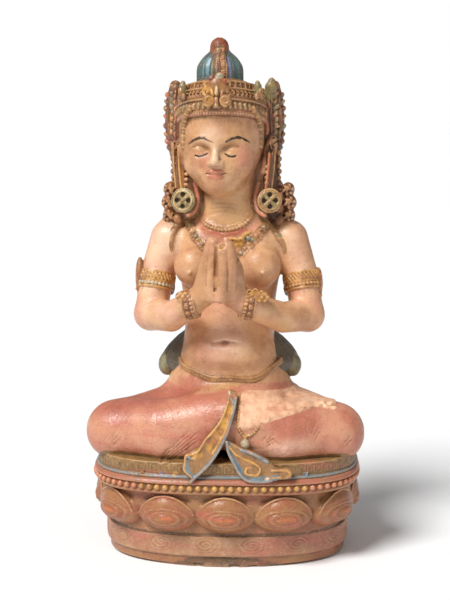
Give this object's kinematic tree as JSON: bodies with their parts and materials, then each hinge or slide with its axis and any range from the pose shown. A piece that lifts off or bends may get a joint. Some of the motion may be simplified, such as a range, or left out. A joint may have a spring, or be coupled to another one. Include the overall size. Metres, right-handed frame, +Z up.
{
  "type": "dewi sri statue",
  "caption": "Painted clay figure of the Balinese rice goddess, seated cross-legged with joined palms, crowned, on a lotus plinth of the same casting.",
  "frame": {"origin": "middle of the flat underside of the plinth, on the surface it stands on", "axes": "+Z up, the figure faces -Y, +X to the right as seen from the front"},
  "size_m": [0.2667, 0.197, 0.4953],
  "materials": {
    "painted_clay": "fired clay with worn matt paint in tan, rose, gold, olive and teal"
  },
  "bodies": {
    "root": {"dewi_sri_statue": "painted_clay"}
  },
  "joints": []
}
